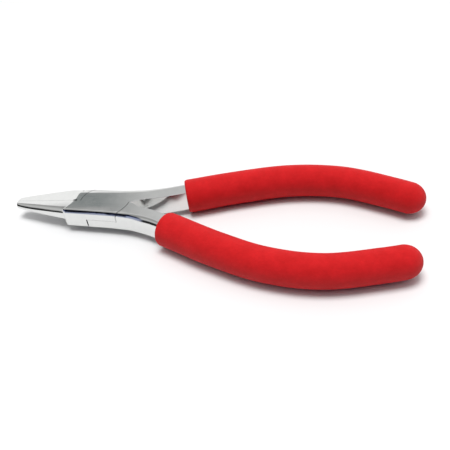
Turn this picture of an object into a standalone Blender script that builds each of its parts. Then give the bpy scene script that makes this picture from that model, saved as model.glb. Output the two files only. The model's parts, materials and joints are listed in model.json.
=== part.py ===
"""Flat nose pliers for jewellery making: two lapped steel arms, a flush rivet and two slip-on grips.

The pliers lie flat with their jaws closed. X runs along them, with the jaws towards -X and the
handles towards +X. Z is the pivot's axis, and the origin is on that axis, at the joint's underside.
The upper arm has the -Y jaw and the +Y handle. The lower arm is the same forging turned over, and
the nose is ground once the two are riveted, so both jaws stand a little above the joint's middle.
"""

import math

import bmesh
import bpy

MM = 0.001

# Fit
GAP = 0.3 * MM  # clearance between pieces that touch on the real pliers
OPEN_ROOM = 5 * MM  # how far a cutter runs past the steel

# Joint
JOINT_HALF_HEIGHT = 3.25 * MM
JOINT_HALF_WIDTH = 5.8 * MM
SHOULDER_X = -9.4 * MM
SHOULDER_SLANT = 1.2 * MM
EDGE_RADIUS = 0.7 * MM
JAW_WALL_RADIUS = 7.1 * MM
HANDLE_WALL_RADIUS = 9.2 * MM
CROTCH_X = 9.8 * MM

# Nose
TIP_X = -31.5 * MM
TIP_HALF_WIDTH = 0.75 * MM
TIP_HALF_HEIGHT = 1.45 * MM
ROOT_HALF_WIDTH = 5.6 * MM
ROOT_HALF_HEIGHT = 2.45 * MM
ROOT_LIFT = 0.55 * MM  # how far the nose's root stands above the joint's middle
WIDTH_GROWTH = 0.87  # under 1, so that the jaws' outer sides bow outwards
TIP_SQUARENESS = 6.0
ROOT_SQUARENESS = 7.0
NOSE_SECTIONS = 7
NOSE_SIDES = 28

# Handles, as the middle line of the +Y one
HANDLE_LINE = [
    (11.0 * MM, 3.9 * MM),
    (18.5 * MM, 5.9 * MM),
    (26.0 * MM, 8.8 * MM),
    (41.6 * MM, 15.1 * MM),
    (57.1 * MM, 19.7 * MM),
    (72.7 * MM, 20.3 * MM),
    (88.3 * MM, 16.0 * MM),
    (99.0 * MM, 11.9 * MM),
]
SHAFT_START_X = 12.0 * MM
SHAFT_WIDTH = 5.3 * MM
TANG_END_WIDTH = 4.2 * MM
TANG_END_X = 89.0 * MM
OUTER_SIDE = [(1.0 * MM, 5.8 * MM), (4.5 * MM, 5.95 * MM), (8.0 * MM, 6.35 * MM)]
SHAFT_STEPS = 22

# Grips
UPPER_GRIP_START_X = 25.3 * MM
LOWER_GRIP_START_X = 23.6 * MM
GRIP_END_X = 98.0 * MM
GRIP_START_RADIUS = 5.3 * MM
GRIP_END_RADIUS = 4.75 * MM
GRIP_RIM_RADIUS = 0.9 * MM
GRIP_STEPS = 22
GRIP_SIDES_RESOLUTION = 7
RIM_STEPS = 3
DOME_STEPS = 6

# Rivet
RIVET_RADIUS = 2.2 * MM
RIVET_HEAD_RADIUS = 3.0 * MM
RIVET_HEAD_DEPTH = 0.9 * MM
RIVET_STEPS = 32

# Resolution of arcs and of rounded edges
ARC_STEPS = 14
EDGE_RESOLUTION = 1


def clear_scene():
    for obj in list(bpy.data.objects):
        bpy.data.objects.remove(obj, do_unlink=True)


def new_collection(name):
    collection = bpy.data.collections.new(name)
    bpy.context.scene.collection.children.link(collection)
    return collection


def principled(name, colour, roughness, metallic):
    material = bpy.data.materials.new(name)
    material.use_nodes = True
    shader = material.node_tree.nodes["Principled BSDF"]
    shader.inputs["Base Color"].default_value = (*colour, 1.0)
    shader.inputs["Roughness"].default_value = roughness
    shader.inputs["Metallic"].default_value = metallic
    return material


def arc(radius, start_deg, end_deg, steps=ARC_STEPS):
    """Points of an arc about the pivot, from one angle to the other."""
    points = []
    for i in range(steps + 1):
        angle = math.radians(start_deg + (end_deg - start_deg) * i / steps)
        points.append((radius * math.cos(angle), radius * math.sin(angle)))
    return points


def handle_y(x):
    """The middle line's Y at X: a cubic through the points of HANDLE_LINE."""
    line = HANDLE_LINE
    last = len(line) - 1
    slopes = []
    for i in range(last + 1):
        before, after = line[max(i - 1, 0)], line[min(i + 1, last)]
        slopes.append((after[1] - before[1]) / (after[0] - before[0]))
    i = max(k for k in range(last) if k == 0 or line[k][0] <= x)
    (x0, y0), (x1, y1) = line[i], line[i + 1]
    span = x1 - x0
    t = (x - x0) / span
    return (
        (2 * t**3 - 3 * t**2 + 1) * y0
        + (t**3 - 2 * t**2 + t) * span * slopes[i]
        + (3 * t**2 - 2 * t**3) * y1
        + (t**3 - t**2) * span * slopes[i + 1]
    )


def handle_normal(x):
    """The direction square to the middle line at X, away from the pliers' middle."""
    step = 0.1 * MM
    slope = (handle_y(x + step) - handle_y(x - step)) / (2 * step)
    length = math.hypot(1, slope)
    return -slope / length, 1 / length


def handle_edge(side, end_x, spare):
    """One edge of the shaft and tang, from the joint to the tang's end."""
    points = []
    for i in range(SHAFT_STEPS + 1):
        x = SHAFT_START_X + (end_x - SHAFT_START_X) * i / SHAFT_STEPS
        share = max(0.0, (x - UPPER_GRIP_START_X) / (TANG_END_X - UPPER_GRIP_START_X))
        half = (SHAFT_WIDTH + (TANG_END_WIDTH - SHAFT_WIDTH) * share) / 2 + spare
        nx, ny = handle_normal(x)
        points.append((x + side * half * nx, handle_y(x) + side * half * ny))
    return points


def link(collection, obj):
    collection.objects.link(obj)
    return obj


def plate(name, outline, low, high, collection, edge=0.0):
    """A flat outline given thickness, with its upper and lower edges rounded, as a mesh object."""
    curve = bpy.data.curves.new(name, "CURVE")
    curve.dimensions = "2D"
    curve.fill_mode = "BOTH"
    curve.extrude = (high - low) / 2 - edge
    curve.bevel_depth = edge
    curve.bevel_resolution = EDGE_RESOLUTION
    curve.offset = -edge
    spline = curve.splines.new("POLY")
    spline.points.add(len(outline) - 1)
    for point, (x, y) in zip(spline.points, outline):
        point.co = (x, y, 0.0, 1.0)
    spline.use_cyclic_u = True
    drawn = link(collection, bpy.data.objects.new(name + "_outline", curve))
    drawn.location.z = (low + high) / 2
    return solid_from_curve(name, drawn, collection)


def solid_from_curve(name, drawn, collection):
    """A mesh object that takes the place of a curve object."""
    bpy.context.view_layer.update()
    evaluated = drawn.evaluated_get(bpy.context.evaluated_depsgraph_get())
    mesh = bpy.data.meshes.new_from_object(evaluated)
    mesh.transform(drawn.matrix_world)
    bpy.data.objects.remove(drawn, do_unlink=True)
    form = bmesh.new()
    form.from_mesh(mesh)
    bmesh.ops.remove_doubles(form, verts=form.verts, dist=0.001 * MM)
    bmesh.ops.recalc_face_normals(form, faces=form.faces)
    form.to_mesh(mesh)
    form.free()
    mesh.name = name
    return link(collection, bpy.data.objects.new(name, mesh))


def nose_section(x, lift):
    """A rounded oblong across both jaws at X: wider, taller and further off the middle towards the joint."""
    share = (x - TIP_X) / (SHOULDER_X - TIP_X)
    half_width = TIP_HALF_WIDTH + (ROOT_HALF_WIDTH - TIP_HALF_WIDTH) * share**WIDTH_GROWTH
    half_height = TIP_HALF_HEIGHT + (ROOT_HALF_HEIGHT - TIP_HALF_HEIGHT) * share
    power = 2 / (TIP_SQUARENESS + (ROOT_SQUARENESS - TIP_SQUARENESS) * min(share, 1.0))
    points = []
    for i in range(NOSE_SIDES):
        angle = 2 * math.pi * i / NOSE_SIDES
        c, s = math.cos(angle), math.sin(angle)
        y = math.copysign(abs(c) ** power, c) * half_width
        z = math.copysign(abs(s) ** power, s) * half_height + lift * share
        points.append((x, y, z))
    return points


def nose(collection, lift):
    """Both jaws as one tapered form that runs into the joint."""
    form = bmesh.new()
    length = SHOULDER_X + EDGE_RADIUS + 1 * MM - TIP_X
    rings = []
    for i in range(NOSE_SECTIONS + 1):
        section = nose_section(TIP_X + length * i / NOSE_SECTIONS, lift)
        rings.append([form.verts.new(point) for point in section])
    for near, far in zip(rings, rings[1:]):
        for i in range(NOSE_SIDES):
            j = (i + 1) % NOSE_SIDES
            form.faces.new((near[i], near[j], far[j], far[i]))
    form.faces.new(rings[0])
    form.faces.new(rings[-1])
    bmesh.ops.recalc_face_normals(form, faces=form.faces)
    mesh = bpy.data.meshes.new("nose")
    form.to_mesh(mesh)
    form.free()
    return link(collection, bpy.data.objects.new("nose", mesh))


def turned(name, profile, collection):
    """A profile of (radius, z) points, top to bottom, turned about the pivot's axis."""
    mesh = bpy.data.meshes.new(name)
    edges = [(i, i + 1) for i in range(len(profile) - 1)]
    mesh.from_pydata([(r, 0.0, z) for r, z in profile], edges, [])
    obj = link(collection, bpy.data.objects.new(name, mesh))
    screw = obj.modifiers.new("turn", "SCREW")
    screw.steps = RIVET_STEPS
    screw.render_steps = RIVET_STEPS
    screw.use_merge_vertices = True
    screw.merge_threshold = 0.001 * MM
    screw.use_smooth_shade = False
    return obj


def rivet_profile(spare, rise):
    """The rivet's half outline: a shank with a countersunk head at each end."""
    top = JOINT_HALF_HEIGHT + rise
    neck = JOINT_HALF_HEIGHT - RIVET_HEAD_DEPTH
    upper = [(0.0, top), (RIVET_HEAD_RADIUS + spare, top)]
    if rise > 0:
        upper.append((RIVET_HEAD_RADIUS + spare, JOINT_HALF_HEIGHT))
    upper.append((RIVET_RADIUS + spare, neck))
    return upper + [(radius, -z) for radius, z in reversed(upper)]


def combine(target, other, operation):
    boolean = target.modifiers.new(other.name, "BOOLEAN")
    boolean.operation = operation
    boolean.object = other


def hide(helpers):
    for obj in helpers.objects:
        obj.hide_render = True
        obj.display_type = "WIRE"


def bar_outline():
    """The joint's full width with the +Y shaft and tang."""
    outer = OUTER_SIDE + handle_edge(1, TANG_END_X, 0.0)
    inner = handle_edge(-1, TANG_END_X, 0.0)
    joint = [
        (CROTCH_X, GAP / 2),
        (CROTCH_X, -JOINT_HALF_WIDTH),
        (SHOULDER_X - SHOULDER_SLANT, -JOINT_HALF_WIDTH),
        (SHOULDER_X, 0.0),
        (SHOULDER_X, JOINT_HALF_WIDTH),
    ]
    return outer + inner[::-1] + joint


def jaw_parting_outline():
    """The other arm's jaw: beyond the jaw faces and the round wall about the pivot."""
    reach = JOINT_HALF_WIDTH + OPEN_ROOM
    far_x = TIP_X - OPEN_ROOM
    dip = math.degrees(math.asin(GAP / 2 / JAW_WALL_RADIUS))
    return [(far_x, -GAP / 2), *arc(JAW_WALL_RADIUS, 180 + dip, 90), (0.0, reach), (far_x, reach)]


def handle_parting_outline():
    """The other arm's shaft, seen from above: beyond the round wall on the handle side."""
    reach = JOINT_HALF_WIDTH + OPEN_ROOM
    rise = math.degrees(math.asin(GAP / 2 / HANDLE_WALL_RADIUS))
    far_x = 2 * CROTCH_X
    return [(far_x, -reach), (far_x, GAP / 2), *arc(HANDLE_WALL_RADIUS, rise, -90), (0.0, -reach)]


def lap_outline():
    """The room that the other arm's plate needs, seen from above."""
    return arc(JAW_WALL_RADIUS + GAP, 90, 270) + arc(HANDLE_WALL_RADIUS + GAP, -90, 90)


def arm_mesh(helpers, lift):
    """An arm about the pivot, its joint's middle at Z = 0, as a single mesh."""
    high = JOINT_HALF_HEIGHT
    past = high + OPEN_ROOM
    arm = plate("arm", bar_outline(), -high, high, helpers, EDGE_RADIUS)
    combine(arm, nose(helpers, lift), "UNION")
    combine(arm, plate("jaw_parting", jaw_parting_outline(), -past, past, helpers), "DIFFERENCE")
    combine(arm, plate("handle_parting", handle_parting_outline(), -past, past, helpers), "DIFFERENCE")
    combine(arm, plate("lap", lap_outline(), -past, GAP / 2, helpers), "DIFFERENCE")
    combine(arm, turned("rivet_hole", rivet_profile(GAP, 1 * MM), helpers), "DIFFERENCE")
    bpy.context.view_layer.update()
    evaluated = arm.evaluated_get(bpy.context.evaluated_depsgraph_get())
    mesh = bpy.data.meshes.new_from_object(evaluated)
    mesh.name = "arm"
    mesh.shade_smooth()
    mesh.set_sharp_from_angle(angle=math.radians(30))
    return mesh


def grip_path(start_x):
    """Stations of a grip along the handle's middle line, each (x, y, radius)."""
    stations = []
    for i in range(RIM_STEPS + 1):
        angle = math.radians(90 * i / RIM_STEPS)
        along = GRIP_RIM_RADIUS * (1 - math.cos(angle))
        stations.append((start_x + along, -GRIP_RIM_RADIUS * (1 - math.sin(angle))))
    first_x = start_x + GRIP_RIM_RADIUS
    dome_x = GRIP_END_X - GRIP_END_RADIUS
    for i in range(1, GRIP_STEPS + 1):
        stations.append((first_x + (dome_x - first_x) * i / GRIP_STEPS, 0.0))
    for i in range(1, DOME_STEPS + 1):
        angle = math.radians(80 * i / DOME_STEPS)
        along = GRIP_END_RADIUS * math.sin(angle)
        stations.append((dome_x + along, -GRIP_END_RADIUS * (1 - math.cos(angle))))
    path = []
    for x, change in stations:
        share = min(max((x - start_x) / (dome_x - start_x), 0.0), 1.0)
        radius = GRIP_START_RADIUS + (GRIP_END_RADIUS - GRIP_START_RADIUS) * share
        path.append((x, handle_y(x), radius + change))
    return path


def grip(name, start_x, collection, helpers):
    """A round sleeve along the +Y handle, open at its front, over the tang."""
    curve = bpy.data.curves.new(name, "CURVE")
    curve.dimensions = "3D"
    curve.bevel_depth = GRIP_START_RADIUS
    curve.bevel_resolution = GRIP_SIDES_RESOLUTION
    curve.use_fill_caps = True
    path = grip_path(start_x)
    spline = curve.splines.new("POLY")
    spline.points.add(len(path) - 1)
    for point, (x, y, radius) in zip(spline.points, path):
        point.co = (x, y, 0.0, 1.0)
        point.radius = radius / GRIP_START_RADIUS
    drawn = link(collection, bpy.data.objects.new(name + "_path", curve))
    sleeve = solid_from_curve(name, drawn, collection)
    high = JOINT_HALF_HEIGHT + GAP
    outer = handle_edge(1, TANG_END_X + GAP, GAP)
    inner = handle_edge(-1, TANG_END_X + GAP, GAP)
    room = plate(name + "_tang_room", outer + inner[::-1], -high, high, helpers, EDGE_RADIUS)
    combine(sleeve, room, "DIFFERENCE")
    sleeve.data.shade_smooth()
    sleeve.data.set_sharp_from_angle(angle=math.radians(40))
    return sleeve, room


def main():
    clear_scene()
    pliers = new_collection("flat_nose_pliers")
    helpers = new_collection("cutters")
    steel = principled("polished_steel", (0.78, 0.79, 0.8), 0.12, 1.0)
    rubber = principled("red_grip", (0.62, 0.012, 0.02), 0.6, 0.0)

    axis = link(pliers, bpy.data.objects.new("pivot_axis", None))
    axis.location.z = JOINT_HALF_HEIGHT
    turn_over = link(pliers, bpy.data.objects.new("lower_arm_axis", None))
    turn_over.parent = axis
    turn_over.rotation_euler.x = math.pi

    for name, lift, parent in (
        ("upper_arm", ROOT_LIFT, axis),
        ("lower_arm", -ROOT_LIFT, turn_over),
    ):
        mesh = arm_mesh(helpers, lift)
        mesh.materials.clear()
        mesh.materials.append(steel)
        arm = link(pliers, bpy.data.objects.new(name, mesh))
        arm.parent = parent

    rivet = turned("pivot_rivet", rivet_profile(0.0, 0.0), pliers)
    rivet.data.materials.append(steel)
    rivet.parent = axis

    for name, start_x, parent in (
        ("upper_arm_grip", UPPER_GRIP_START_X, axis),
        ("lower_arm_grip", LOWER_GRIP_START_X, turn_over),
    ):
        sleeve, room = grip(name, start_x, pliers, helpers)
        sleeve.data.materials.append(rubber)
        sleeve.parent = parent
        room.parent = parent
    hide(helpers)


main()
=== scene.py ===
"""Looks of the flat nose pliers: polished steel, a flush rivet and soft red grips, on a table."""

import json
import math

import bmesh
import bpy
from mathutils import Matrix, Vector, noise
from mathutils.geometry import delaunay_2d_cdt


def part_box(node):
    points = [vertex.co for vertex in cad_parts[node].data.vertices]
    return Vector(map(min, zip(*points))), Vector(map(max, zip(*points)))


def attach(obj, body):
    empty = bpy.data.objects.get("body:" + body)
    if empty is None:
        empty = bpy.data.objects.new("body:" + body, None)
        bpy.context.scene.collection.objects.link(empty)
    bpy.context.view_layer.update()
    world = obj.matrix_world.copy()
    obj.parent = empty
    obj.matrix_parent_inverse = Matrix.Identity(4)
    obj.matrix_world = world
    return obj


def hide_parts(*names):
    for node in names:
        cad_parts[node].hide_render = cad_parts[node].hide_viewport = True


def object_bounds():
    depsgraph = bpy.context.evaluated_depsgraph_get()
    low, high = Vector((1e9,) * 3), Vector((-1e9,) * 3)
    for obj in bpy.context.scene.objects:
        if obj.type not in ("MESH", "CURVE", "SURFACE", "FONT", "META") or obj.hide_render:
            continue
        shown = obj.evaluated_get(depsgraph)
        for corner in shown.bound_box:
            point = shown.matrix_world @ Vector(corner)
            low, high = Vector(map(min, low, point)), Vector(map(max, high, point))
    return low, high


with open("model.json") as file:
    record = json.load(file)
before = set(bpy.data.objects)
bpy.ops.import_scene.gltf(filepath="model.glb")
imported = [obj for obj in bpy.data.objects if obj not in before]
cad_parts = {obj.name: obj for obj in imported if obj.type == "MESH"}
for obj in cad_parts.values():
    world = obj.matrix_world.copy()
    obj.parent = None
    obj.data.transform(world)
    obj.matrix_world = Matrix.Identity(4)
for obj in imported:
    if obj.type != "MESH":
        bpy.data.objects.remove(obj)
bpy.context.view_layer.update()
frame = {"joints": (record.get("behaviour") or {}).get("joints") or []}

MILLIMETRE = 0.001
UNITS = 1000  # shapes are built in millimetres and scaled down when they are finished
JOINT = frame["joints"][0]
MID_Z = JOINT["pos_m"][2] * UNITS  # height of the lap between the two arms
HALF = MID_Z  # the joint's half height
UPPER, LOWER = "upper", "lower"
TIP_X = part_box("upper_arm")[0].x * UNITS
GRIP_END_X = 98.0
UPPER_GRIP_START = 25.3
LOWER_GRIP_START = 23.6

# Joint
SHOULDER_X = -9.4
CROTCH_X = 9.9  # where the two shafts part
JAW_WALL_RADIUS = 7.1
HANDLE_WALL_RADIUS = 9.2
SLIT = 0.05  # width of the jaws' parting line and of the lap's joint line
EDGE_BREAK = 0.06  # the fine bevel along the parting lines
WALL_SLIT = 0.2  # the wider gap along the round walls
RIVET_RADIUS = 3.0
RIVET_SLIT = 0.006  # a hairline: the rivet's head is ground flush
RIVET_EDGE = 0.01
ROUND_STEPS = 71  # 5 degrees a side round the rivet and its bore
CUT_HEIGHT = 12  # the cutters reach this far above and below the joint
CUT_REACH = 30  # and this far to the side
PARTING_Y = -0.82  # where the jaws' parting line meets the jaw wall; it starts at the tip's middle
NOTCH = (-9.9, -8.5)  # the parting line opens into a small notch here, at the shoulder
NOTCH_SLIT = 0.32
NOTCH_STEP = 0.05  # length over which the slit widens into the notch
LOWER_EDGE = 0.45  # rounding of the body's lower edge, with more on the -Y side
LOWER_EDGE_EXTRA = 0.5
NEAR_EDGE = [  # the -Y side's long upper edge: (degrees it leans in, length) from the side up
    (9, 0.15),
    (15, 0.34),
    (20, 0.38),
    (25, 0.34),
    (31, 0.30),
    (38, 0.24),
    (52, 0.24),
    (72, 0.25),
]

# Nose: sizes at its tip and at its root, beside the joint
TIP_HALF_WIDTH = 1.65
ROOT_HALF_WIDTH = 5.65
WIDTH_GROWTH = 0.87  # below 1, so the sides bow out a little
TIP_TOP, ROOT_TOP = 0.62, 3.1
TIP_BOTTOM, ROOT_BOTTOM = -1.15, -1.45
TIP_ROUND, ROOT_ROUND = 0.2, 0.45
CROWN = 2.6  # degrees the top leans over at CROWN_Y
CROWN_Y = 3.7
TIP_CHAMFER = 0.12
FACET = [  # (x, height) of the line where the leaning flank meets the upright side
    (-31.5, -0.38),
    (-28.5, -0.34),
    (-24.0, -0.12),
    (-19.6, 0.3),
    (-15.4, 0.65),
    (-8.0, 1.4),
]
FACET_WIDTH, FACET_DEPTH = 0.25, 0.5
FAR_NARROWING = 0.14  # how much the far side draws in before the joint's rounded corner
TIP_CORNER = 0.22  # how far the tip's outer corners are rounded back
TIP_CORNER_LENGTH = 3
NOSE_RINGS = 40

# Handles, as the middle line of the +Y one
HANDLE_LINE = [
    (11.0, 3.9),
    (18.5, 5.9),
    (26.0, 8.8),
    (41.6, 15.1),
    (57.1, 19.7),
    (72.7, 20.3),
    (88.3, 16.0),
    (99.0, 11.9),
]
SHAFT_WIDTH = 5.3
TANG_END_WIDTH = 4.2
TANG_END_X = 89.0

# Grips
GRIP_START_RADIUS = 5.3
GRIP_END_RADIUS = 4.75
GRIP_LIP = 0.8  # rounding of the open end
GRIP_SIDES = 72
GRIP_RINGS = 130
GRIP_SWELL = 0.05  # height of the foam's faint unevenness
BORE_SQUARENESS = 3.2
BORE_PLACES = (75, 60, 50, 40, 34, 30)
BORE_SPARE = 0.06  # room round the tang


# ---------------------------------------------------------------- handles' middle line


def handle_y(x):
    """The middle line's y at x, on a smooth curve through its points."""
    line = HANDLE_LINE
    last = len(line) - 1
    slopes = []
    for i in range(last + 1):
        before, after = line[max(i - 1, 0)], line[min(i + 1, last)]
        slopes.append((after[1] - before[1]) / (after[0] - before[0]))
    i = max(k for k in range(last) if k == 0 or line[k][0] <= x)
    (x0, y0), (x1, y1) = line[i], line[i + 1]
    span = x1 - x0
    t = (x - x0) / span
    return (
        (2 * t**3 - 3 * t**2 + 1) * y0
        + (t**3 - 2 * t**2 + t) * span * slopes[i]
        + (3 * t**2 - 2 * t**3) * y1
        + (t**3 - t**2) * span * slopes[i + 1]
    )


def handle_direction(x):
    step = 0.1
    return Vector((2 * step, handle_y(x + step) - handle_y(x - step), 0)).normalized()


def shaft_half_width(x):
    share = min(max((x - UPPER_GRIP_START) / (TANG_END_X - UPPER_GRIP_START), 0), 1)
    return (SHAFT_WIDTH + (TANG_END_WIDTH - SHAFT_WIDTH) * share) / 2


def shaft_edge(x, side):
    """The shaft's outer (1) or inner (-1) edge beside the middle line's point at x."""
    d = handle_direction(x)
    half = shaft_half_width(x) * side
    return Vector((x - d.y * half, handle_y(x) + d.x * half))


# ---------------------------------------------------------------- mesh helpers


def smoothstep(low, high, value):
    t = min(max((value - low) / (high - low), 0.0), 1.0)
    return t * t * (3 - 2 * t)


def new_object(name, form):
    mesh = bpy.data.meshes.new(name)
    bmesh.ops.recalc_face_normals(form, faces=form.faces)
    form.to_mesh(mesh)
    form.free()
    obj = bpy.data.objects.new(name, mesh)
    bpy.context.scene.collection.objects.link(obj)
    return obj


def fill_outline(form, row):
    """Triangles over a level outline of any shape."""
    flat = [Vector((v.co.x, v.co.y)) for v in row]
    inside = delaunay_2d_cdt(flat, [], [list(range(len(row)))], 1, 1e-6)
    if len(inside[0]) != len(row):
        raise ValueError("an outline crosses itself")
    order = [source[0] for source in inside[3]]
    for face in inside[2]:
        form.faces.new([row[order[i]] for i in face])


def loft(name, rings, flat_ends=False):
    """A closed mesh through rings of equal length."""
    form = bmesh.new()
    rows = [[form.verts.new(p) for p in ring] for ring in rings]
    count = len(rows[0])
    for near, far in zip(rows, rows[1:]):
        for i in range(count):
            j = (i + 1) % count
            form.faces.new((near[i], near[j], far[j], far[i]))
    for row in (rows[0], rows[-1]):
        if flat_ends:
            form.faces.new(row)
        else:
            fill_outline(form, row)
    return new_object(name, form)


def prism(name, outline, low, high):
    return loft(name, [[(x, y, low) for x, y in outline], [(x, y, high) for x, y in outline]])


def apply_all(obj):
    bpy.context.view_layer.update()
    graph = bpy.context.evaluated_depsgraph_get()
    mesh = bpy.data.meshes.new_from_object(obj.evaluated_get(graph))
    obj.modifiers.clear()
    obj.data = mesh


def boolean(obj, other, operation):
    modifier = obj.modifiers.new(other.name, "BOOLEAN")
    modifier.operation = operation
    modifier.solver = "EXACT"
    modifier.object = other


def resample(points, step):
    """Points (x, y, ...) along a polyline, evenly spaced, with every other value interpolated."""
    out = []
    for a, b in zip(points, points[1:]):
        length = math.hypot(b[0] - a[0], b[1] - a[1])
        n = max(1, round(length / step))
        for i in range(n):
            t = i / n
            out.append(tuple(p + (q - p) * t for p, q in zip(a, b)))
    out.append(tuple(points[-1]))
    return out


def smooth(points, passes):
    """Evens out a polyline, leaving its two ends in place."""
    for _ in range(passes):
        inner = [
            tuple((a[k] + 2 * b[k] + c[k]) / 4 for k in range(len(b)))
            for a, b, c in zip(points, points[1:], points[2:])
        ]
        points = [points[0], *inner, points[-1]]
    return points


# ---------------------------------------------------------------- steel body


def body_outline():
    """The joint with both shafts, anticlockwise.

    Each point is (x, y, width, depth, squareness, near), for its upper edge's rounding. near mixes
    in the -Y side's own edge profile, NEAR_EDGE.
    """
    outer, inner = [], []
    x = 12.0
    while x < TANG_END_X:
        p, q = shaft_edge(x, 1), shaft_edge(x, -1)
        fade = smoothstep(12, 24, x)
        close = 1.0 - 0.95 * smoothstep(60, 80, x)
        outer.append((p.x, p.y, (1.5 - 0.4 * fade) * close, 0.45 * close, 1.5, 0.0))
        inner.append((q.x, q.y, 0.1 * close, 0.1 * close, 1.8, 0.0))
        x += 0.8 if x < 32 else 3.0
    far_side = outer[::-1] + [
        (8.0, 6.35, 1.6, 0.45, 1.5, 0.0),
        (4.5, 5.95, 1.65, 0.45, 1.5, 0.0),
        (1.0, 5.8, 1.75, 0.45, 1.5, 0.0),
        (-3.0, 5.76, 2.1, 0.45, 1.5, 0.0),
        (-5.5, 5.6, 2.3, 0.45, 1.5, 0.0),
    ]
    far_side = smooth(resample(far_side, 0.45), 6)
    corner = [
        (-5.5, 5.6, 2.3, 0.45, 1.5, 0.0),
        (-7.0, 5.38, 2.1, 0.42, 1.5, 0.0),
        (-8.55, 4.8, 1.7, 0.40, 1.5, 0.0),
        (-9.75, 4.0, 1.25, 0.36, 1.6, 0.0),
        (-10.2, 2.95, 1.1, 0.32, 1.7, 0.0),
        (-10.05, 1.7, 0.95, 0.30, 1.8, 0.0),
        (-9.6, 0.0, 0.6, 0.28, 2.0, 0.0),
        (-10.35, -3.0, 0.5, 0.30, 2.0, 0.0),
        (-11.5, -5.35, 0.45, 0.40, 2.0, 0.0),
    ]
    corner = smooth(resample(corner, 0.3), 4)
    near_corner = [
        (-11.5, -5.35, 0.45, 0.40, 2.0, 0.0),
        (-11.49, -5.65, 0.45, 0.5, 2.0, 0.1),
        (-11.37, -5.92, 0.45, 0.6, 2.0, 0.3),
        (-11.15, -6.14, 0.45, 0.7, 2.0, 0.6),
        (-10.85, -6.26, 0.45, 0.8, 2.0, 0.85),
        (-10.45, -6.3, 0.45, 0.9, 2.0, 1.0),
    ]
    near_side = [(-10.45, -6.3), (1.0, -6.3), (4.5, -6.33), (8.0, -6.5)]
    near_side += [(px, -py) for px, py, *_ in outer]
    near_side = [
        (px, py, 0.3 * (1 - 0.8 * smoothstep(60, 80, px)), 0.3, 2.0,
         (1 + 0.6 * smoothstep(9, 17, px)) * (1 - 0.9 * smoothstep(60, 80, px)))
        for px, py in near_side
    ]
    near_side = smooth(resample(near_side, 0.45), 6)
    crotch = [(10.6, -0.35, 0.12, 0.12, 1.8, 0.0), (CROTCH_X, 0.0, 0.1, 0.1, 1.8, 0.0)]
    crotch.append((10.6, 0.35, 0.12, 0.12, 1.8, 0.0))
    near_inner = [(px, -py, *rest) for px, py, *rest in inner[::-1]]
    notch = smooth(resample(near_inner + crotch + inner, 0.35), 3)
    pieces = [corner, near_corner, near_side, notch, far_side]
    points = []
    for piece in pieces:
        for p in piece:
            if not points or math.hypot(p[0] - points[-1][0], p[1] - points[-1][1]) > 0.05:
                points.append(p)
    if math.hypot(points[0][0] - points[-1][0], points[0][1] - points[-1][1]) < 0.05:
        points.pop()
    return points


def near_edge_profile():
    """(inset, drop) of the -Y side's upper edge, from the upright side to the top."""
    steps = [
        (length * math.sin(math.radians(lean)), length * math.cos(math.radians(lean)))
        for lean, length in NEAR_EDGE
    ]
    drop = sum(rise for _, rise in steps)
    inset = 0.0
    profile = [(inset, drop)]
    for across, rise in steps:
        inset += across
        drop -= rise
        profile.append((inset, drop))
    return profile


def edge_rings(outline):
    """Rings from the body's underside to its top, following each outline point's edge profile."""
    profile = near_edge_profile()
    steps = len(profile) - 1
    count = len(outline)
    inward = []
    for i in range(count):
        a, b = outline[i - 1], outline[(i + 1) % count]
        d = Vector((b[0] - a[0], b[1] - a[1])).normalized()
        inward.append((-d.y, d.x))
    rings = []
    for k in range(steps + 1):
        t = math.radians(90 * (1 - k / steps))
        ring = []
        for (x, y, width, _, _, near), (nx, ny) in zip(outline, inward):
            edge = min(LOWER_EDGE, width) + LOWER_EDGE_EXTRA * min(near, 1.0)
            inset, z = edge * (1 - math.cos(t)), -HALF + edge * (1 - math.sin(t))
            ring.append((x + nx * inset, y + ny * inset, z))
        rings.append(ring)
    for k in range(steps + 1):
        t = math.radians(90 * k / steps)
        near_inset, near_drop = profile[k]
        ring = []
        for (x, y, width, depth, square, near), (nx, ny) in zip(outline, inward):
            own = 1 - min(near, 1.0)
            inset = width * (1 - math.cos(t) ** (2 / square)) * own + near_inset * near
            drop = depth * (1 - math.sin(t) ** (2 / square)) * own + near_drop * near
            ring.append((x + nx * inset, y + ny * inset, HALF - drop))
        rings.append(ring)
    return rings


def between(table, x):
    """The value at x of a table of (x, value) pairs, on straight lines between them."""
    for (x0, v0), (x1, v1) in zip(table, table[1:]):
        if x <= x1 or (x1, v1) == table[-1]:
            return v0 + (v1 - v0) * (x - x0) / (x1 - x0)


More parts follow.
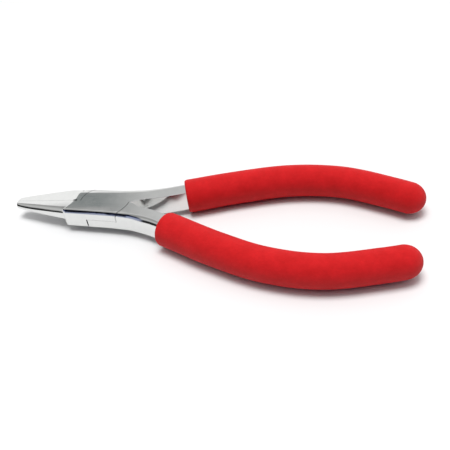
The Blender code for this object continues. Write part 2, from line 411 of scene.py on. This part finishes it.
def nose_ring(x, shrink=0.0):
    """One cross-section of the closed jaws, the same when turned half round.

    It runs from the far upper corner over a slightly crowned top, down a leaning flank and a narrow
    facet to the upright side.
    """
    share = (x - TIP_X) / (SHOULDER_X - TIP_X)
    half = TIP_HALF_WIDTH + (ROOT_HALF_WIDTH - TIP_HALF_WIDTH) * share**WIDTH_GROWTH
    top = TIP_TOP + (ROOT_TOP - TIP_TOP) * share
    bottom = TIP_BOTTOM + (ROOT_BOTTOM - TIP_BOTTOM) * share
    rounding = TIP_ROUND + (ROOT_ROUND - TIP_ROUND) * share
    facet_z = between(FACET, x)
    narrow = min(1.0, half / 2)
    upper_y, upper_z = half - FACET_WIDTH * narrow, facet_z + FACET_DEPTH * narrow
    crown_y = min(CROWN_Y, upper_y - min((top - upper_z) * 0.9, upper_y * 0.85))
    sink = math.tan(math.radians(CROWN)) * crown_y**2 / (2 * CROWN_Y)
    crown_z = top - sink
    start = half - rounding
    profile = []
    for i in range(1, 6):
        t = math.radians(90 * i / 6)
        profile.append((start + rounding * math.cos(t), top - rounding + rounding * math.sin(t)))
    for i in range(4):
        profile.append((start * (1 - i / 4), top))
    for i in range(10):
        t = i / 9
        profile.append((-crown_y * t, top - sink * t * t))
    knee_y = crown_y + (upper_y - crown_y) * 0.55
    knee_z = crown_z - (crown_z - upper_z) * 0.30
    for i in range(1, 12):
        t = i / 11
        y = (1 - t) ** 2 * crown_y + 2 * t * (1 - t) * knee_y + t * t * upper_y
        z = (1 - t) ** 2 * crown_z + 2 * t * (1 - t) * knee_z + t * t * upper_z
        profile.append((-y, z))
    for i in range(1, 5):
        t = i / 4
        y = upper_y + (half - upper_y) * (1 - (1 - t) ** 1.25)
        profile.append((-y, upper_z + (facet_z - upper_z) * t))
    middle = (top + bottom) / 2
    ring = []
    for turn in (1, -1):
        for y, z in profile:
            ring.append((turn * y, middle + turn * (z - middle)))
    back = TIP_CORNER * max(0.0, 1 - (x - TIP_X) / TIP_CORNER_LENGTH)
    far_size = 1 - FAR_NARROWING * smoothstep(-14.0, -8.8, x)
    points = []
    for y, z in ring:
        wide = (1 - shrink / half) * (far_size if y > 0 else 1.0)
        tall = 1 - shrink / (top - middle)
        points.append((x + back * (y / half) ** 2, y * wide, middle + (z - middle) * tall))
    return points


def nose():
    start = TIP_X + TIP_CHAMFER
    end = SHOULDER_X + 0.9
    rings = [nose_ring(TIP_X, TIP_CHAMFER)]
    rings += [nose_ring(start + (end - start) * i / NOSE_RINGS) for i in range(NOSE_RINGS + 1)]
    return loft("nose", rings, flat_ends=True)


def arc(radius, start, end, steps=48):
    """Points round the pivot, from one angle to another, in degrees."""
    return [
        (
            radius * math.cos(math.radians(start + (end - start) * i / steps)),
            radius * math.sin(math.radians(start + (end - start) * i / steps)),
        )
        for i in range(steps + 1)
    ]


def steel_arm(name, body, turned_over):
    """Cuts one arm out of the whole steel body along the parting lines."""
    arm = bpy.data.objects.new(name, body.data.copy())
    bpy.context.scene.collection.objects.link(arm)
    slit = SLIT / 2
    side = -1 if turned_over else 1
    rise = math.degrees(math.asin(slit / HANDLE_WALL_RADIUS))
    past_tip = TIP_X - 10

    def parting(x, gap):
        """A point of the line between the jaws, moved towards -Y by gap."""
        return (x, side * PARTING_Y * (x - TIP_X) / (-JAW_WALL_RADIUS - TIP_X) - gap)

    meeting = math.degrees(math.asin(parting(-JAW_WALL_RADIUS, slit)[1] / JAW_WALL_RADIUS))
    notch_start, notch_end = NOTCH
    jaw = [
        (past_tip, -slit),
        (TIP_X, -slit),
        parting(notch_start - NOTCH_STEP, slit),
        parting(notch_start, NOTCH_SLIT),
        parting(notch_end, NOTCH_SLIT),
        parting(notch_end + NOTCH_STEP, slit),
        *arc(JAW_WALL_RADIUS, 180 - meeting, 90),
        (0.0, CUT_REACH),
        (past_tip, CUT_REACH),
    ]
    past_handles = 120
    handle = [(past_handles, -CUT_REACH), (past_handles, slit)]
    handle += [*arc(HANDLE_WALL_RADIUS, rise, -90), (0.0, -CUT_REACH)]
    lap = arc(JAW_WALL_RADIUS + WALL_SLIT, 90, 270) + arc(HANDLE_WALL_RADIUS + WALL_SLIT, -90, 90)
    cutters = [
        prism("jaw_cut", jaw, -CUT_HEIGHT, CUT_HEIGHT),
        prism("handle_cut", handle, -CUT_HEIGHT, CUT_HEIGHT),
        prism("lap_cut", lap, -CUT_HEIGHT, slit),
    ]
    for cutter in cutters:
        if turned_over:
            cutter.data.transform(Matrix.Rotation(math.pi, 4, "X"))
        boolean(arm, cutter, "DIFFERENCE")
    apply_all(arm)
    break_edges(arm)
    bore_line = arc(RIVET_RADIUS + RIVET_SLIT / 2, 0, 360 - 5, ROUND_STEPS)
    bore = prism("rivet_cut", bore_line, -CUT_HEIGHT, CUT_HEIGHT)
    boolean(arm, bore, "DIFFERENCE")
    apply_all(arm)
    join_level_faces(arm)
    unfold_corners(arm, [(Vector((TIP_X, 0, 0)), 1.5), (Vector((CROTCH_X, 0, HALF)), 0.5)])
    for cutter in [*cutters, bore]:
        bpy.data.objects.remove(cutter, do_unlink=True)
    arm.data.shade_smooth()
    arm.data.set_sharp_from_angle(angle=math.radians(24))
    weighted = arm.modifiers.new("weighted_normals", "WEIGHTED_NORMAL")
    weighted.keep_sharp = True
    weighted.weight = 100
    return arm


def close_seams(form):
    """Splits an open edge at an open vertex that lies on it, so that both sides meet."""
    loose = [edge for edge in form.edges if edge.is_boundary]
    ends = [vert for edge in loose for vert in edge.verts]
    for edge in sorted(loose, key=lambda e: -e.calc_length()):
        start, end = edge.verts
        line = end.co - start.co
        for vert in ends:
            share = (vert.co - start.co).dot(line) / line.length_squared
            if 0.02 < share < 0.98 and (start.co + line * share - vert.co).length < 0.01:
                bmesh.utils.edge_split(edge, start, share)[1].co = vert.co
                break
    rim = [vert for vert in form.verts if vert.is_boundary]
    bmesh.ops.remove_doubles(form, verts=rim, dist=0.0001)


def join_level_faces(obj):
    """Joins coplanar faces, so that a bevel beside them stays even, and closes any open seam."""
    form = bmesh.new()
    form.from_mesh(obj.data)
    bmesh.ops.remove_doubles(form, verts=form.verts, dist=0.002)
    level = math.radians(0.1)
    bmesh.ops.dissolve_limit(form, angle_limit=level, verts=form.verts, edges=form.edges)
    close_seams(form)
    bmesh.ops.holes_fill(form, edges=[edge for edge in form.edges if edge.is_boundary], sides=6)
    form.to_mesh(obj.data)
    form.free()


def unfold_corners(obj, corners):
    """Cuts the many-sided faces near some corners into triangles, and drops any back-to-back pair.

    corners is a list of (place, reach).
    """
    form = bmesh.new()
    form.from_mesh(obj.data)
    chosen = [
        face
        for face in form.faces
        if len(face.verts) > 4
        and any((vert.co - place).length < reach for vert in face.verts for place, reach in corners)
    ]
    bmesh.ops.triangulate(form, faces=chosen)
    same = {}
    for face in form.faces:
        same.setdefault(frozenset(face.verts), []).append(face)
    folded = [face for faces in same.values() if len(faces) > 1 for face in faces]
    bmesh.ops.delete(form, geom=folded, context="FACES")
    form.to_mesh(obj.data)
    form.free()


def break_edges(obj):
    """A fine bevel along every sharp edge."""
    join_level_faces(obj)
    bevel = obj.modifiers.new("edge_break", "BEVEL")
    bevel.width = EDGE_BREAK
    bevel.segments = 2
    bevel.limit_method = "ANGLE"
    bevel.angle_limit = math.radians(50)
    bevel.use_clamp_overlap = True
    bevel.miter_outer = "MITER_SHARP"
    apply_all(obj)


def build_steel():
    body = loft("body", edge_rings(body_outline()))
    jaws = nose()
    boolean(body, jaws, "UNION")
    apply_all(body)
    bpy.data.objects.remove(jaws, do_unlink=True)
    arms = [steel_arm("upper_arm_steel", body, False), steel_arm("lower_arm_steel", body, True)]
    bpy.data.objects.remove(body, do_unlink=True)
    return arms


def build_rivet():
    """The flush rivet: a shank as wide as its polished heads, with fine edges."""
    radius = RIVET_RADIUS - RIVET_SLIT / 2
    profile = [
        (0.02, -HALF),
        (radius - RIVET_EDGE, -HALF),
        (radius, -HALF + RIVET_EDGE),
        (radius, HALF - RIVET_EDGE),
        (radius - RIVET_EDGE, HALF),
        (0.02, HALF),
    ]
    rings = [[(x, y, z) for x, y in arc(r, 0, 360 - 5, ROUND_STEPS)] for r, z in profile]
    rivet = loft("rivet", rings)
    rivet.data.shade_smooth()
    rivet.data.set_sharp_from_angle(angle=math.radians(30))
    return rivet


# ---------------------------------------------------------------- grips


def grip_stations(start_x):
    """(x, radius) from the lip to the rounded end."""
    stations = []
    for i in range(9):
        t = math.radians(90 * i / 8)
        stations.append((start_x + GRIP_LIP * (1 - math.cos(t)), -GRIP_LIP * (1 - math.sin(t))))
    first, dome = start_x + GRIP_LIP, GRIP_END_X - GRIP_END_RADIUS
    for i in range(1, GRIP_RINGS + 1):
        stations.append((first + (dome - first) * i / GRIP_RINGS, 0.0))
    for i in range(1, 19):
        t = math.radians(89 * i / 18)
        along = GRIP_END_RADIUS * math.sin(t)
        stations.append((dome + along, -GRIP_END_RADIUS * (1 - math.cos(t))))
    out = []
    for x, change in stations:
        share = min(max((x - start_x) / (dome - start_x), 0.0), 1.0)
        out.append((x, GRIP_START_RADIUS + (GRIP_END_RADIUS - GRIP_START_RADIUS) * share + change))
    return out


def grip(name, start_x, turned_over, seed):
    """A soft sleeve lofted along the handle, open at its lip, with the tang's bore inside."""
    rings = []

    def bore_ring(x, spare):
        d = handle_direction(x)
        half_w, half_h = shaft_half_width(x) + spare, HALF + spare
        ring = []
        for i in range(GRIP_SIDES):
            a = 2 * math.pi * i / GRIP_SIDES
            c, s = math.cos(a), math.sin(a)
            power = 1 / BORE_SQUARENESS
            u = math.copysign(abs(c) ** power, c) * half_w
            v = math.copysign(abs(s) ** power, s) * half_h
            ring.append((x - d.y * u, handle_y(x) + d.x * u, v))
        return ring

    for x in (TANG_END_X + 0.5, *BORE_PLACES, start_x + 0.5):
        rings.append(bore_ring(x, BORE_SPARE))
    rings.append(bore_ring(start_x + 0.12, 0.12))
    rings.append(bore_ring(start_x, 0.3))
    for x, radius in grip_stations(start_x):
        d = handle_direction(min(x, GRIP_END_X))
        ring = []
        for i in range(GRIP_SIDES):
            a = 2 * math.pi * i / GRIP_SIDES
            u, v = radius * math.cos(a), radius * math.sin(a)
            point = Vector((x - d.y * u, handle_y(x) + d.x * u, v))
            swell = noise.noise(point * 0.12 + Vector((seed, 0, 0))) * GRIP_SWELL
            out = Vector((-d.y * math.cos(a), d.x * math.cos(a), math.sin(a)))
            ring.append(point + out * swell)
        rings.append(ring)
    sleeve = loft(name, rings, flat_ends=True)
    if turned_over:
        sleeve.data.transform(Matrix.Rotation(math.pi, 4, "X"))
    sleeve.data.shade_smooth()
    sleeve.data.set_sharp_from_angle(angle=math.radians(50))
    return sleeve


# ---------------------------------------------------------------- materials


class Nodes:
    """A few short ways to add nodes to a tree."""

    def __init__(self, tree):
        self.tree = tree

    def add(self, kind, inputs=None, **settings):
        node = self.tree.nodes.new(kind)
        for key, value in settings.items():
            setattr(node, key, value)
        for key, value in (inputs or {}).items():
            self.put(node, key, value)
        return node

    def put(self, node, key, value):
        socket = node.inputs[key]
        if isinstance(value, bpy.types.NodeSocket):
            self.tree.links.new(value, socket)
        else:
            socket.default_value = value

    def math(self, operation, *values):
        node = self.add("ShaderNodeMath", operation=operation)
        for i, value in enumerate(values):
            self.put(node, i, value)
        return node.outputs[0]

    def ramp(self, factor, stops):
        node = self.add("ShaderNodeValToRGB", {"Fac": factor})
        elements = node.color_ramp.elements
        while len(elements) < len(stops):
            elements.new(0.5)
        for element, (position, colour) in zip(elements, stops):
            element.position = position
            colour = (colour,) * 3 if isinstance(colour, (int, float)) else colour
            element.color = (*colour, 1)
        return node.outputs["Color"]

    def mix(self, factor, a, b):
        node = self.add("ShaderNodeMix", data_type="RGBA")
        self.put(node, 0, factor)
        self.put(node, 6, a)
        self.put(node, 7, b)
        return node.outputs[2]

    def noise(self, vector, scale, detail=2.0, rough=0.5):
        node = self.add(
            "ShaderNodeTexNoise",
            {"Vector": vector, "Scale": scale, "Detail": detail, "Roughness": rough},
        )
        return node.outputs["Fac"]

    def spread(self, value, low, high):
        """Spreads a noise's usual range over low to high."""
        limits = {"From Min": 0.3, "From Max": 0.7, "To Min": low, "To Max": high}
        return self.add("ShaderNodeMapRange", {"Value": value, **limits}).outputs[0]

    def step(self, value, start, end):
        """0 before start, 1 after end, smooth between."""
        limits = {"From Min": start, "From Max": end}
        node = self.add("ShaderNodeMapRange", {"Value": value, **limits})
        node.interpolation_type = "SMOOTHSTEP"
        return node.outputs[0]


def new_material(name):
    """A material with one shader, and its place in the object, in metres, for the noises."""
    material = bpy.data.materials.new(name)
    material.use_nodes = True
    tree = material.node_tree
    tree.nodes.clear()
    n = Nodes(tree)
    shader = n.add("ShaderNodeBsdfPrincipled")
    output = n.add("ShaderNodeOutputMaterial")
    tree.links.new(shader.outputs[0], output.inputs["Surface"])
    where = n.add("ShaderNodeTexCoord").outputs["Object"]
    return material, n, shader, where


def steel_material(name, colour, rough_low, rough_high):
    """Mirror-polished steel: hairline scratches along the tool, and cloudy colour and roughness."""
    material, n, shader, where = new_material(name)
    along = n.add("ShaderNodeMapping", {"Vector": where, "Scale": (60, 2400, 2400)}).outputs[0]
    scratch = n.noise(along, 1.0, 3.0, 0.6)
    cloud = n.noise(where, 420.0, 3.0, 0.55)
    tint = n.ramp(cloud, [(0.35, tuple(c * 0.97 for c in colour)), (0.65, colour)])
    n.put(shader, "Base Color", tint)
    shader.inputs["Metallic"].default_value = 1.0
    blend = n.math("MULTIPLY_ADD", scratch, 0.6, n.math("MULTIPLY", cloud, 0.4))
    n.put(shader, "Roughness", n.spread(blend, rough_low, rough_high))
    bump = n.add("ShaderNodeBump", {"Height": scratch, "Strength": 0.05, "Distance": 0.00001})
    n.put(shader, "Normal", bump.outputs[0])
    return material


def grip_material():
    """Soft red foam: fine matte grain, faint mottling and a slight sheen at grazing angles."""
    material, n, shader, where = new_material("red_grip")
    grain = n.noise(where, 2600.0, 4.0, 0.65)
    mottle = n.noise(where, 260.0, 4.0, 0.6)
    speck = n.noise(where, 1100.0, 2.0, 0.5)
    base = n.ramp(mottle, [(0.30, (0.49, 0.0095, 0.0105)), (0.70, (0.60, 0.0135, 0.0155))])
    base = n.mix(n.math("MULTIPLY", speck, 0.45), base, (0.36, 0.006, 0.008, 1))
    n.put(shader, "Base Color", base)
    n.put(shader, "Roughness", n.spread(grain, 0.56, 0.74))
    shader.inputs["Specular IOR Level"].default_value = 0.16
    shader.inputs["Sheen Weight"].default_value = 0.04
    shader.inputs["Sheen Roughness"].default_value = 0.45
    shader.inputs["Sheen Tint"].default_value = (1.0, 0.5, 0.5, 1)
    height = n.math("MULTIPLY_ADD", speck, 0.5, grain)
    bump = n.add("ShaderNodeBump", {"Height": height, "Strength": 0.6, "Distance": 0.0001})
    n.put(shader, "Normal", bump.outputs[0])
    return material


def table_material():
    material, n, shader, where = new_material("white_table")
    cloud = n.noise(where, 6.0, 3.0, 0.5)
    n.put(shader, "Base Color", n.ramp(cloud, [(0.3, 0.71), (0.7, 0.75)]))
    shader.inputs["Roughness"].default_value = 0.7
    shader.inputs["Specular IOR Level"].default_value = 0.1
    return material


# ---------------------------------------------------------------- studio


BACK = [  # (elevation in degrees, brightness or colour) of the room, by direction
    (0, 1.05),
    (26.5, 1.12),
    (29.0, 0.85),
    (31.5, 0.48),
    (33.0, (0.26, 0.285, 0.285)),
    (34.5, (0.27, 0.295, 0.295)),
    (37.0, 0.44),
    (46.0, 0.80),
    (90, 1.0),
]
BACK_RIGHT = [(0, 0.93), (26.0, 0.9), (34.0, 0.62), (40.0, 0.76), (90, 1.0)]
FRONT = [
    (0, (0.44, 0.47, 0.60)),
    (11, (0.38, 0.42, 0.60)),
    (17, (0.03, 0.05, 0.16)),
    (22, (0.005, 0.007, 0.02)),
    (43, (0.006, 0.006, 0.012)),
    (51, 0.9),
    (90, 1.0),
]
FRONT_PATCH = [
    (0, (0.40, 0.45, 0.62)),
    (5, (0.30, 0.34, 0.5)),
    (9, 0.004),
    (43, 0.005),
    (51, 0.9),
    (90, 1.0),
]
LEFT_NEAR = [
    (0, 0.03),
    (9, 0.012),
    (13, 0.10),
    (17, 0.66),
    (26, 0.60),
    (34, 0.44),
    (46, 0.34),
    (60, 0.5),
    (90, 1.0),
]
LEFT_FAR = [(0, 0.40), (12, 0.50), (20, 0.62), (34, 0.46), (46, 0.40), (60, 0.5), (90, 1.0)]


def studio_world():
    """The room that the steel mirrors, from the horizon up, by azimuth (0 is +Y, positive is +X).

    Behind the tool is a pale wall with a grey gap above it, and in front is a dark room with a dim
    blue horizon. The left side has its own two bands, for the nose's flank and its tip. What the
    camera sees past the table is plain pale grey.
    """
    world = bpy.data.worlds.new("studio")
    world.use_nodes = True
    tree = world.node_tree
    tree.nodes.clear()
    n = Nodes(tree)
    direction = n.add("ShaderNodeTexCoord").outputs["Generated"]
    x, y, z = n.add("ShaderNodeSeparateXYZ", {"Vector": direction}).outputs
    elevation = n.math("DIVIDE", n.math("DEGREES", n.math("ARCSINE", z)), 90.0)
    azimuth = n.math("DEGREES", n.math("ARCTAN2", x, y))

    def wall(stops):
        return n.ramp(elevation, [(degrees / 90, value) for degrees, value in stops])

    def sector(start, full, fading, end):
        """1 between two azimuths, fading to 0 outside them."""
        rise = n.step(azimuth, start, full)
        return n.math("MULTIPLY", rise, n.math("SUBTRACT", 1.0, n.step(azimuth, fading, end)))

    back = n.mix(n.step(azimuth, -34.0, -27.0), wall(BACK), wall(BACK_RIGHT))
    front = n.mix(sector(-152.2, -151.0, -149.0, -147.8), wall(FRONT), wall(FRONT_PATCH))
    left = n.mix(n.step(azimuth, -106.0, -96.0), wall(LEFT_NEAR), wall(LEFT_FAR))
    room = n.mix(n.step(y, -0.30, 0.10), front, back)
    room = n.mix(sector(-138.0, -130.0, -56.0, -48.0), room, left)
    seen = n.add("ShaderNodeLightPath").outputs["Is Camera Ray"]
    colour = n.mix(seen, room, (0.93, 0.93, 0.93, 1))
    background = n.add("ShaderNodeBackground", {"Color": colour, "Strength": 1.0})
    output = n.add("ShaderNodeOutputWorld")
    tree.links.new(background.outputs[0], output.inputs["Surface"])
    bpy.context.scene.world = world


def area_light(name, place, target, size, energy):
    """A soft box that lights the scene, but isn't itself mirrored in the steel's fine edges."""
    data = bpy.data.lights.new(name, "AREA")
    data.shape = "RECTANGLE"
    data.size, data.size_y = size
    data.energy = energy
    light = bpy.data.objects.new(name, data)
    light.location = place
    aim = Vector(target) - Vector(place)
    light.rotation_euler = aim.to_track_quat("-Z", "Y").to_euler()
    light.visible_glossy = False
    bpy.context.scene.collection.objects.link(light)


def camera():
    data = bpy.data.cameras.new("camera")
    data.sensor_width = 36.0
    data.lens = 51.95
    data.clip_start, data.clip_end = 0.01, 20.0
    cam = bpy.data.objects.new("camera", data)
    right = Vector((0.95958, 0.25251, -0.12425)).normalized()
    back = Vector((0.27327, -0.73058, 0.62576)).normalized()
    up = back.cross(right).normalized()
    right = up.cross(back)
    place = Vector((94.171, -145.496, 121.080 + MID_Z)) * MILLIMETRE
    matrix = Matrix((right, up, back)).transposed().to_4x4()
    matrix.translation = place
    cam.matrix_world = matrix
    bpy.context.scene.collection.objects.link(cam)
    bpy.context.scene.camera = cam


# ---------------------------------------------------------------- the scene

upper_steel, lower_steel = build_steel()
rivet = build_rivet()
upper_grip = grip("upper_grip_sleeve", UPPER_GRIP_START, False, 1.0)
lower_grip = grip("lower_grip_sleeve", LOWER_GRIP_START, True, 7.0)

polished = steel_material("polished_steel", (0.745, 0.75, 0.74), 0.05, 0.11)
rivet_steel = steel_material("rivet_steel", (0.74, 0.745, 0.735), 0.05, 0.11)
red = grip_material()

for piece, node, body, slot, material in (
    (upper_steel, "upper_arm", UPPER, "polished_steel", polished),
    (lower_steel, "lower_arm", LOWER, "polished_steel", polished),
    (rivet, "pivot_rivet", UPPER, "rivet_steel", rivet_steel),
    (upper_grip, "upper_arm_grip", UPPER, "red_grip", red),
    (lower_grip, "lower_arm_grip", LOWER, "red_grip", red),
):
    piece.data.materials.clear()
    piece.data.materials.append(material)
    piece.data.transform(Matrix.Scale(MILLIMETRE, 4) @ Matrix.Translation((0, 0, MID_Z)))
    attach(piece, body)
    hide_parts(node)

low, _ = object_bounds()
grid = bmesh.new()
bmesh.ops.create_grid(grid, x_segments=24, y_segments=24, size=3.0)
table = new_object("table_top", grid)
table.location = (0, 0, low.z)
table.data.materials.append(table_material())

studio_world()
area_light("ceiling_softbox", (0.05, -0.04, 1.2), (0.03, 0.0, 0.0), (0.62, 0.52), 13.2)
camera()
bpy.context.scene.view_settings.view_transform = "Standard"
